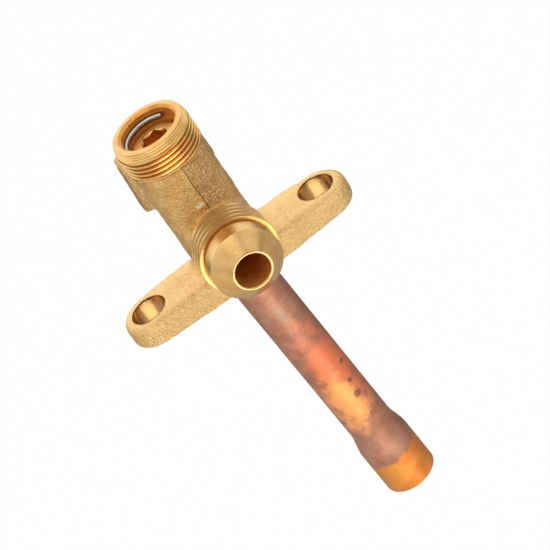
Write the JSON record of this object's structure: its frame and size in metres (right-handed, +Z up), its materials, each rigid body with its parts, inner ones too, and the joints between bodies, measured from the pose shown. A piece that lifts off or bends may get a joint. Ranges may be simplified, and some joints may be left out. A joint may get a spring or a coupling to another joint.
{
  "type": "refrigerant service valve",
  "caption": "Brass refrigerant service valve with a flare port, a capped-stem port, a two-eared mounting flange and a brazed copper stub; a hex key screws the spindle shut.",
  "frame": {"origin": "centre of the mounting face under the flange, on the spindle axis, where the line through the two ear holes crosses it", "axes": "+Z up the spindle and out of the cap port, -Y out of the flare port, X along the two ears, -Z down the copper stub, which leans slightly to +X"},
  "size_m": [0.0516, 0.033, 0.1032],
  "materials": {
    "forged_brass": "forged, with turned ports",
    "turned_brass": "turned",
    "seal_rubber": "matt",
    "spring_steel": "drawn wire",
    "copper": "drawn copper, heat-stained",
    "filler": "brazing alloy"
  },
  "bodies": {
    "body": {"valve_body": "forged_brass", "snap_ring": "spring_steel", "copper_tube": "copper", "braze_fillet": "filler"},
    "seal": {"spindle_o_ring": "seal_rubber"},
    "screw": {"spindle": "turned_brass"}
  },
  "joints": [
    {"name": "spindle_lift", "type": "slide", "parent": "body", "child": "seal", "axis": [0, 0, 1], "range_m": [-0.0055, 0]},
    {"name": "spindle_turn", "type": "hinge", "parent": "seal", "child": "screw", "pos_m": [0, 0, 0.03], "axis": [0, 0, 1], "range_deg": [-1980, 0]}
  ],
  "couplings": [
    {"joint": "spindle_lift", "follows": "spindle_turn", "m_per_rad": 0.00015915}
  ]
}
